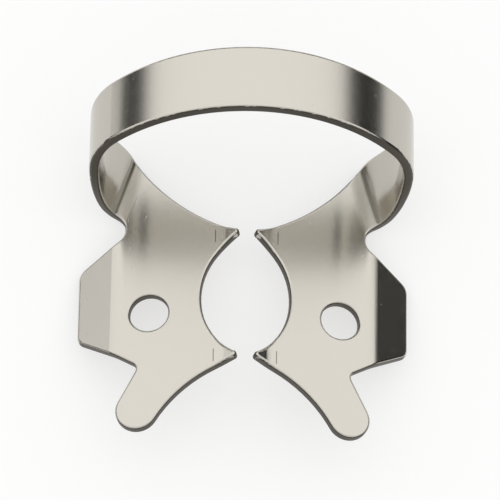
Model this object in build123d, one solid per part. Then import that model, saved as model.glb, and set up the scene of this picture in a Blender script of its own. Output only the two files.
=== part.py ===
from build123d import *
import os
from math import acos, asin, atan2, cos, degrees, radians, sin, sqrt, tan

# A rubber dam clamp: one blank of spring steel sheet, stamped and bent into two jaws under a bow.
# Millimetres. X runs across the jaws, Y from the front tabs to the bow, Z up from the table.
# Places called u lie along the sloping upper face of a jaw, out from the middle plane, and
# places called v lie along Y, from the middle of the tooth opening.

# Sheet
sheet = 0.6
edge_round = 0.15

# Jaws, from the middle plane to the line where the wings and necks bend, and their slope
jaw_width = 7.3
jaw_lean = 12.0

# Further bends of the wings and prongs
wing_drop = 20.0
wing_bend_radius = 1.6
prong_rise = 20.0
prong_bend_radius = 1.8
prong_bend_u = 1.55

# Tooth opening and prongs
tooth_half_gap = 2.72
prong_half_gap = 0.16
prong_v = 4.03
prong_tip_round = 0.2

# Forceps hole, set in from the bend line
hole_diameter = 2.3
hole_inset = 1.55
hole_v = -0.95

# Wing
wing_width = 2.8
wing_back_v = 2.25
wing_front_v = -2.2
wing_back_round = 0.8
wing_front_round = 0.55

# Front tab and the notch beside the wing, set in from the bend line
tab_inset = 0.96
tab_v = -7.15
tab_radius = 1.24
tab_notch_inset = 1.0
tab_notch_v = -4.35
tab_notch_round = 0.4
tab_curve_radius = 8.2

# Neck, where the sheet turns up into the leg along a slanting line behind a round notch
neck_slant = 18.0
neck_width = 4.0
neck_turn = 60.0
neck_bend_radius = 1.0
neck_notch_radius = 0.85
neck_notch_v = 4.6
neck_notch_lead = 0.02
back_curve_radius = 12.4

# Leg, which twists from the slant of the neck to the straight side of the bow
leg_foot_run = 0.2
leg_foot_pull = 1.0
leg_side_pull = 1.6

# Bow, out from the bend line of the wing and up from where the two jaws would meet
bow_overhang = 2.33
bow_widest_z = 3.4
bow_top_z = 9.75
bow_side_radius = 4.0
bow_front_v = 6.03
bow_front_lean = 9.4
bow_back_v = 9.65
bow_back_lean = 12.6

# How far the clamp tips back until the heels of its necks touch the table with its wings
rest_tilt = 14.13

# Reach of the cutting prisms past the sheet
past = 4.0


def ahead(heading):
    """Unit step along a heading in the XZ plane, in degrees from +X towards +Z."""
    return Vector(cos(radians(heading)), 0, sin(radians(heading)))


def above(heading):
    """Unit step square to a heading, on its upper side."""
    return ahead(heading + 90)


def strip(point, heading, moves):
    """Section of the sheet whose upper face follows the moves, and where that face ends.

    A move is a run, given by its length, or a turn, given by its angle and inside radius.
    """
    upper, lower = [], []
    start = Line(point, point - above(heading) * sheet)
    for move in moves:
        if len(move) == 1:
            step = ahead(heading) * move[0]
            below = point - above(heading) * sheet
            upper.append(Line(point, point + step))
            lower.append(Line(below, below + step))
            point = point + step
        else:
            angle, inside = move
            radius = inside if angle > 0 else -(inside + sheet)
            centre = point + above(heading) * radius
            for edges, r in ((upper, radius), (lower, radius + sheet)):
                edges.append(ThreePointArc(*[centre - above(heading + angle * k) * r for k in (0, 0.5, 1)]))
            point = centre - above(heading + angle) * radius
            heading += angle
    end = Line(point, point - above(heading) * sheet)
    return make_face(Wire(upper + lower + [start, end])), point


def along_y(section, front, back):
    """The sheet of a section in the XZ plane, from one Y to another."""
    return extrude(Pos(0, front, 0) * section, amount=back - front, dir=(0, 1, 0))


def touch(tip, centre, radius):
    """Point where a line from tip touches a circle on its left side."""
    across = centre - tip
    turn = atan2(across.Y, across.X) + asin(radius / across.length)
    reach = sqrt(across.length**2 - radius**2)
    return tip + Vector(cos(turn), sin(turn)) * reach


def between(start, end, centre):
    """Arc about a centre, by the short way round."""
    middle = (start - centre).normalized() + (end - centre).normalized()
    return ThreePointArc(start, centre + middle.normalized() * (start - centre).length, end)


def hollow_centre(start, end, radius):
    """Centre of an arc from start to end that bulges to the right of its way."""
    chord = end - start
    left = Vector(-chord.Y, chord.X).normalized()
    return start + chord / 2 + left * sqrt(radius**2 - chord.length**2 / 4)


def jaw_outline():
    """Outline of the right jaw on its sloping face, with the neck drawn out straight."""
    front_prong = Vector(prong_half_gap, -prong_v)
    wing_back = Vector(jaw_width + wing_width, wing_back_v)
    wing_front = Vector(jaw_width + wing_width, wing_front_v)
    notch_front = touch(wing_back, notch, neck_notch_radius)
    tab_notch = Vector(jaw_width - tab_notch_inset, tab_notch_v)
    tab = Vector(jaw_width - tab_inset, tab_v)
    tab_outer = touch(tab_notch, tab, tab_radius)

    # The hollow curve from the front prong runs smoothly into the round end of the tab
    to_tab = tab - front_prong
    far = tab_curve_radius + tab_radius
    swing = acos((tab_curve_radius**2 + to_tab.length**2 - far**2) / (2 * tab_curve_radius * to_tab.length))
    aim = atan2(to_tab.Y, to_tab.X) - swing
    curve = front_prong + Vector(cos(aim), sin(aim)) * tab_curve_radius
    tab_inner = tab + (curve - tab).normalized() * tab_radius

    edges = [
        between(back_prong, neck_back, hollow_centre(back_prong, neck_back, back_curve_radius)),
        Line(neck_back, neck_front),
        between(neck_front, notch_front, notch),
        Polyline(notch_front, wing_back, wing_front, tab_notch, tab_outer),
        ThreePointArc(tab_outer, tab - Vector(0, tab_radius), tab_inner),
        between(tab_inner, front_prong, curve),
        ThreePointArc(front_prong, (tooth_half_gap, 0), back_prong),
    ]
    outline = make_face(Wire([edge for line in edges for edge in line.edges()]))
    rounds = (
        (back_prong, prong_tip_round),
        (front_prong, prong_tip_round),
        (wing_back, wing_back_round),
        (wing_front, wing_front_round),
        (tab_notch, tab_notch_round),
    )
    for corner, radius in rounds:
        outline = fillet(outline.vertices().sort_by_distance(corner)[0], radius)
    return outline


# Bend line of the right neck, which clears the bottom of the notch, and the back edge that crosses it
outward = Vector(cos(radians(neck_slant)), sin(radians(neck_slant)))
backward = Vector(-outward.Y, outward.X)
back_prong = Vector(prong_half_gap, prong_v)
notch = Vector(jaw_width - neck_notch_lead + neck_notch_radius, neck_notch_v)
notch_x = neck_notch_radius - neck_notch_lead
neck_origin = notch - outward * notch_x
neck_front_y = sqrt(neck_notch_radius**2 - notch_x**2)
neck_front = neck_origin + backward * neck_front_y
neck_back = neck_origin + backward * neck_width
back_spoke = neck_back - hollow_centre(back_prong, neck_back, back_curve_radius)
back_splay = tan(atan2(back_spoke.X, -back_spoke.Y) - radians(neck_slant))

# Right jaw: prong and plate, with the wing ahead of the notch
jaw_plane = Plane((0, 0, 0), x_dir=ahead(-jaw_lean), z_dir=above(-jaw_lean))
prong_heading = -jaw_lean - prong_rise
prong_tangent = prong_bend_radius * tan(radians(prong_rise / 2))
prong_start = ahead(-jaw_lean) * prong_bend_u - ahead(prong_heading) * past
plate = [
    (past - prong_tangent,),
    (prong_rise, prong_bend_radius),
    (jaw_width - prong_bend_u - prong_tangent,),
]
flat_section = strip(prong_start, prong_heading, plate + [(past,)])[0]
wing_turn = (-wing_drop, wing_bend_radius)
wing_section = strip(prong_start, prong_heading, plate + [wing_turn, (past,)])[0]
jaw_sheet = along_y(flat_section, tab_v - past, tab_notch_v)
jaw_sheet += along_y(wing_section, tab_notch_v, neck_notch_v)
jaw_sheet += along_y(flat_section, neck_notch_v, neck_back.Y + past)
jaw = jaw_sheet & extrude(jaw_plane * jaw_outline(), amount=past, both=True)
jaw -= jaw_plane * Pos(jaw_width - hole_inset, hole_v) * Cylinder(hole_diameter / 2, 2 * past)

# Right neck, in its own plane on the bend line
neck_plane = Plane(jaw_plane * Plane(neck_origin, x_dir=outward, z_dir=(0, 0, 1)))
neck_section, foot = strip(Vector(0, 0, 0), 0, [(neck_turn, neck_bend_radius), (leg_foot_run,)])
notch_in_neck = Vector(notch_x, 0)
notch_end = Vector(notch_x, neck_notch_radius)
neck_far = neck_width + past * back_splay
neck_edges = [
    Polyline((0, neck_front_y), (0, neck_width), (past, neck_far), (past, neck_notch_radius), notch_end),
    between(notch_end, Vector(0, neck_front_y), notch_in_neck),
]
neck_outline = make_face(Wire([edge for line in neck_edges for edge in line.edges()]))
neck = along_y(neck_section, 0, neck_far) & extrude(neck_outline, amount=past, both=True)
neck = neck_plane * neck

# Right leg: four smooth edges from the end of the neck to the side of the bow
bow_half_width = ahead(-jaw_lean).X * jaw_width + bow_overhang
leg_edges = []
for y, splay, v, lean in (
    (neck_notch_radius, 0, bow_front_v, bow_front_lean),
    (neck_width, back_splay, bow_back_v, bow_back_lean),
):
    for depth in (0, sheet):
        low = foot - above(neck_turn) * depth
        low = neck_plane.from_local_coords(Vector(low.X, y + low.X * splay, low.Z))
        rise = ahead(neck_turn) + Vector(0, splay * cos(radians(neck_turn)), 0)
        rise = neck_plane.from_local_coords(rise) - neck_plane.origin
        high = Vector(bow_half_width - sheet + depth, v, bow_widest_z)
        climb = Vector(0, sin(radians(lean)), cos(radians(lean)))
        pulls = [low + rise.normalized() * leg_foot_pull, high - climb * leg_side_pull]
        leg_edges.append(Bezier(low, *pulls, high))
front_in, front_out, back_in, back_out = leg_edges
leg_faces = [
    Face.make_surface_from_curves(one, other)
    for one, other in ((front_in, back_in), (back_in, back_out), (back_out, front_out), (front_out, front_in))
]
leg_faces += [
    make_face(Polyline(*[edge @ end for edge in (front_in, back_in, back_out, front_out)], close=True)).face()
    for end in (0, 1)
]
leg = Solid(Shell(leg_faces))
half = jaw + neck + leg

# Bow: a wide arch of three radii between the legs, leaning back
side_u = bow_half_width - bow_side_radius
rise = bow_top_z - bow_widest_z
crown_radius = (side_u**2 + rise**2 - bow_side_radius**2) / (2 * (rise - bow_side_radius))
side_turn = degrees(atan2(crown_radius - rise, side_u))
side = (side_turn, bow_side_radius - sheet)
crown = (2 * (90 - side_turn), crown_radius - sheet)
bow_section = strip(Vector(bow_half_width - sheet, 0, bow_widest_z), 90, [side, crown, side])[0]
high = rise + past
bow_points = [
    (bow_front_v - past * tan(radians(bow_front_lean)), bow_widest_z - past),
    (bow_front_v + high * tan(radians(bow_front_lean)), bow_widest_z + high),
    (bow_back_v + high * tan(radians(bow_back_lean)), bow_widest_z + high),
    (bow_back_v - past * tan(radians(bow_back_lean)), bow_widest_z - past),
]
bow_side = make_face(Polyline(*bow_points, close=True))
bow = along_y(bow_section, bow_front_v - past, bow_back_v + past)
bow &= extrude(Plane.YZ * bow_side, amount=bow_half_width + past, both=True)

clamp = half + mirror(half, about=Plane.YZ) + bow

# Every stamped edge is tumbled round
sides = {}
for face in clamp.faces():
    for edge in face.edges():
        sides.setdefault(edge, []).append(face)
rims = [
    edge
    for edge, (one, *others) in sides.items()
    if others and one.normal_at(edge @ 0.5).get_angle(others[0].normal_at(edge @ 0.5)) > 30
]
clamp = fillet(rims, edge_round)

# The clamp as it comes to rest, with the origin under the middle of its box
clamp = Rot(X=-rest_tilt) * clamp
box = clamp.bounding_box()
clamp = Pos(-box.center().X, -box.center().Y, -box.min.Z) * clamp

os.makedirs("parts", exist_ok=True)
export_step(clamp, "parts/clamp.step")
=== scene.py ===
from math import cos, radians, sin

import bmesh
import bpy
from mathutils import Matrix, Vector
from mathutils.bvhtree import BVHTree

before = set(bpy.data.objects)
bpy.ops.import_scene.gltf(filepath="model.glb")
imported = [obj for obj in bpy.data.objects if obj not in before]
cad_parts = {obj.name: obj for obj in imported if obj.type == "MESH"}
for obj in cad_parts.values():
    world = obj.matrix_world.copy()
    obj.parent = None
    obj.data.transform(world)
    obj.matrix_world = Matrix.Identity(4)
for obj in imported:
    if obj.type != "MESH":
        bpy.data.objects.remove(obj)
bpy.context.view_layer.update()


# Clamp
# One blank of spring steel sheet, stamped, bent into two jaws under a bow, hardened and tumbled.
# The solid has its true shape already, so it stays and only gets its finish here.
MM = 0.001


def colour(code):
    """Linear colour of an sRGB hex code."""
    parts = [int(code[k : k + 2], 16) / 255 for k in (1, 3, 5)]
    return [p / 12.92 if p <= 0.04045 else ((p + 0.055) / 1.055) ** 2.4 for p in parts] + [1.0]


def add(tree, kind, links=(), values=(), **settings):
    """Adds a node, with links as (input, output socket) and values as (input, value)."""
    node = tree.nodes.new(kind)
    for name, value in settings.items():
        setattr(node, name, value)
    for name, value in values:
        node.inputs[name].default_value = value
    for name, socket in links:
        tree.links.new(socket, node.inputs[name])
    return node


# Tumbled stainless spring steel: a warm grey satin that shows the tent as a soft glow with soft edges
sheet_colour = colour("#C2BEB5")
# Darker colour of the pressed lines: painted shade for their grooves
press_shade_colour = colour("#6E6A62")
least_rough = 0.17
most_rough = 0.23
steel = bpy.data.materials.new("tumbled_spring_steel")
steel.use_nodes = True
tree = steel.node_tree
shader = tree.nodes["Principled BSDF"]
shader.inputs["Metallic"].default_value = 1.0

# Tumbling leaves a fine grain, drawn three times as coarse as it is so that it shows
grain_size = 0.09 * MM
grain_depth = 0.01 * MM
place = add(tree, "ShaderNodeTexCoord").outputs["Object"]
grain = add(
    tree,
    "ShaderNodeTexNoise",
    [("Vector", place)],
    [("Scale", 1 / grain_size), ("Detail", 3.0), ("Roughness", 0.6)],
).outputs["Fac"]

# A few hair scratches run along the clamp, drawn twice as wide as they are so that they show
scratch_width = 0.07 * MM
scratch_length = 1.6 * MM
scratch_dulling = 0.5
stretched = add(
    tree,
    "ShaderNodeMapping",
    [("Vector", place)],
    [("Scale", (1 / scratch_width, 1 / scratch_length, 1 / scratch_width))],
).outputs["Vector"]
streaks = add(
    tree,
    "ShaderNodeTexNoise",
    [("Vector", stretched)],
    [("Scale", 1.0), ("Detail", 0.0)],
).outputs["Fac"]
scratch = add(
    tree,
    "ShaderNodeMapRange",
    [("Value", streaks)],
    [("From Min", 0.76), ("From Max", 0.86), ("To Min", 0.0), ("To Max", scratch_dulling)],
).outputs["Result"]

# The bending tool pressed a short line into the jaws beside each prong
press_x = 1.84 * MM
press_width = 0.1 * MM
press_length = 0.8 * MM
press_back_y = 1.42 * MM
press_front_y = -6.12 * MM
axes = add(tree, "ShaderNodeSeparateXYZ", [("Vector", place)]).outputs
side = add(tree, "ShaderNodeMath", [(0, axes["X"])], operation="ABSOLUTE").outputs["Value"]
beside = add(tree, "ShaderNodeMath", [(0, side)], [(1, press_x)], operation="SUBTRACT").outputs["Value"]
away = add(tree, "ShaderNodeMath", [(0, beside)], operation="ABSOLUTE").outputs["Value"]
line = add(
    tree,
    "ShaderNodeMapRange",
    [("Value", away)],
    [("From Min", 0.0), ("From Max", press_width / 2), ("To Min", 1.0), ("To Max", 0.0)],
    interpolation_type="SMOOTHSTEP",
).outputs["Result"]
ends = [
    add(
        tree,
        "ShaderNodeMath",
        [(0, axes["Y"])],
        [(1, middle), (2, press_length / 2)],
        operation="COMPARE",
    ).outputs["Value"]
    for middle in (press_back_y, press_front_y)
]
along = add(tree, "ShaderNodeMath", [(0, ends[0]), (1, ends[1])], operation="ADD").outputs["Value"]
press = add(tree, "ShaderNodeMath", [(0, line), (1, along)], operation="MULTIPLY").outputs["Value"]

# Pressed lines get painted shade, a darker colour for the shade in their grooves, and sit a little
# lower, and scratches shine less
painted_press_shade = add(tree, "ShaderNodeMix", [("Factor", press)], data_type="RGBA")
painted_press_shade.inputs["A"].default_value = sheet_colour
painted_press_shade.inputs["B"].default_value = press_shade_colour
worn = add(tree, "ShaderNodeMath", [(0, grain), (1, scratch)], operation="ADD").outputs["Value"]
sheen = add(
    tree,
    "ShaderNodeMapRange",
    [("Value", worn)],
    [("From Min", 0.3), ("From Max", 0.7), ("To Min", least_rough), ("To Max", most_rough)],
    clamp=False,
)
lowered = add(tree, "ShaderNodeMath", [(0, grain), (1, press)], operation="SUBTRACT").outputs["Value"]
relief = add(
    tree,
    "ShaderNodeBump",
    [("Height", lowered)],
    [("Strength", 0.1), ("Distance", grain_depth)],
)
tree.links.new(painted_press_shade.outputs["Result"], shader.inputs["Base Color"])
tree.links.new(sheen.outputs["Result"], shader.inputs["Roughness"])
tree.links.new(relief.outputs["Normal"], shader.inputs["Normal"])

# The sheet was rolled across the clamp, so its shine spreads from front to back
shader.inputs["Anisotropic"].default_value = 0.85
spread = add(tree, "ShaderNodeCombineXYZ", values=[("Y", 1.0)])
tree.links.new(spread.outputs["Vector"], shader.inputs["Tangent"])

# Sheared edge of the sheet: a dull band between its two bright rounded rims, rough like a real sheared
# face, with its dark grey colour painted shade
edge_shade_finish = bpy.data.materials.new("sheared_steel_edge_painted_shade")
edge_shade_finish.use_nodes = True
shader = edge_shade_finish.node_tree.nodes["Principled BSDF"]
shader.inputs["Base Color"].default_value = colour("#5E5A54")
shader.inputs["Metallic"].default_value = 1.0
shader.inputs["Roughness"].default_value = 0.42

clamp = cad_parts["clamp"]
clamp.data.materials.clear()
clamp.data.materials.append(steel)
clamp.data.materials.append(edge_shade_finish)

# A face is broad where the other side of the sheet lies close behind it and looks the other way
sheet_depth = 0.8 * MM
looks_away = -0.6
skin = 0.01 * MM
solid = bmesh.new()
solid.from_mesh(clamp.data)
inside = BVHTree.FromBMesh(solid)
solid.free()
# Narrow faces, the sheared edges and hole walls, take the edge finish with its painted shade
for face in clamp.data.polygons:
    hit, behind, number, depth = inside.ray_cast(face.center - face.normal * skin, -face.normal)
    broad = hit is None or (depth < sheet_depth and behind.dot(face.normal) < looks_away)
    face.material_index = 0 if broad else 1


# Floor
# A sheet of matt white card that the clamp lies on, large enough to fill every view from above.
# It lies flat on the table, and the clamp's shadow falls on it.
floor_width = 600 * MM
card = bpy.data.materials.new("white_card")
card.use_nodes = True
tree = card.node_tree
shader = tree.nodes["Principled BSDF"]
shader.inputs["Base Color"].default_value = colour("#FCFCFB")
shader.inputs["Roughness"].default_value = 0.9
shader.inputs["Specular IOR Level"].default_value = 0.1

# The view and the metal see the card near white, with a part of the clamp's shadow on it
whiteness = 0.6
ray = add(tree, "ShaderNodeLightPath").outputs
direct = add(
    tree,
    "ShaderNodeMath",
    [(0, ray["Is Camera Ray"]), (1, ray["Is Glossy Ray"])],
    operation="ADD",
).outputs["Value"]
seen = add(
    tree,
    "ShaderNodeMath",
    [(0, direct), (1, ray["Is Transmission Ray"])],
    operation="ADD",
).outputs["Value"]
share = add(tree, "ShaderNodeMath", [(0, seen)], [(1, whiteness)], operation="MULTIPLY").outputs["Value"]
white = add(tree, "ShaderNodeEmission", values=[("Color", (1, 1, 1, 1)), ("Strength", 1.0)])
blend = add(tree, "ShaderNodeMixShader", [("Fac", share)])
tree.links.new(shader.outputs["BSDF"], blend.inputs[1])
tree.links.new(white.outputs["Emission"], blend.inputs[2])
tree.links.new(blend.outputs["Shader"], tree.nodes["Material Output"].inputs["Surface"])

sheet = bmesh.new()
bmesh.ops.create_grid(sheet, x_segments=1, y_segments=1, size=floor_width / 2)
floor_mesh = bpy.data.meshes.new("floor")
sheet.to_mesh(floor_mesh)
sheet.free()
floor_mesh.materials.append(card)
floor = bpy.data.objects.new("floor", floor_mesh)
bpy.context.scene.collection.objects.link(floor)


# Light
# A white tent over the table, hung a little lower on the left and lit from behind the clamp.
# The dark room shows under its hem all round, and the bow and the right wing reflect that.
hem_rise = 17.5
hem_blur = 3.0
hem_lean = 3.8
front_glow = 0.85
back_glow = 1.35
glow_turn = 0.3
room_glow = 0.01
tent = bpy.data.worlds.new("tent")
bpy.context.scene.world = tent
tent.use_nodes = True
tree = tent.node_tree
toward = add(tree, "ShaderNodeTexCoord").outputs["Generated"]
back_way = add(tree, "ShaderNodeSeparateXYZ", [("Vector", toward)]).outputs["Y"]
glow = add(
    tree,
    "ShaderNodeMapRange",
    [("Value", back_way)],
    [("From Min", -glow_turn), ("From Max", glow_turn), ("To Min", front_glow), ("To Max", back_glow)],
    interpolation_type="SMOOTHSTEP",
).outputs["Result"]
leaned = add(
    tree,
    "ShaderNodeMapping",
    [("Vector", toward)],
    [("Rotation", (0, radians(hem_lean), 0))],
).outputs["Vector"]
height = add(tree, "ShaderNodeSeparateXYZ", [("Vector", leaned)]).outputs["Z"]
hem_low = sin(radians(hem_rise - hem_blur))
hem_high = sin(radians(hem_rise + hem_blur))
cloth = add(
    tree,
    "ShaderNodeMapRange",
    [("Value", height), ("To Max", glow)],
    [("From Min", hem_low), ("From Max", hem_high), ("To Min", room_glow)],
    interpolation_type="SMOOTHSTEP",
)
tree.links.new(cloth.outputs["Result"], tree.nodes["Background"].inputs["Strength"])
tree.nodes["Background"].inputs["Color"].default_value = (1, 1, 1, 1)


# Camera
# A long lens looks down on the clamp from the front, a little from its left and turned a little.
# It stands 300 mm off, so that the near tabs and the far bow keep their true sizes.
camera_turn = radians(-12.8)
camera_rise = radians(76.6)
camera_roll = radians(14.9)
camera_away = 300 * MM
view_width = 29.3 * MM
aim = Vector((0.19, 0.56, 2.94)) * MM

level = cos(camera_rise)
back = Vector((sin(camera_turn) * level, -cos(camera_turn) * level, sin(camera_rise)))
right = Matrix.Rotation(camera_roll, 3, back) @ Vector((cos(camera_turn), sin(camera_turn), 0))
up = back.cross(right)
stand = Matrix.Translation(aim + back * camera_away)
lens = bpy.data.cameras.new("camera")
lens.lens = lens.sensor_width * camera_away / view_width
lens.clip_start = 10 * MM
camera = bpy.data.objects.new("camera", lens)
camera.matrix_world = stand @ Matrix((right, up, back)).transposed().to_4x4()
bpy.context.scene.collection.objects.link(camera)
bpy.context.scene.camera = camera
bpy.context.scene.view_settings.view_transform = "Standard"
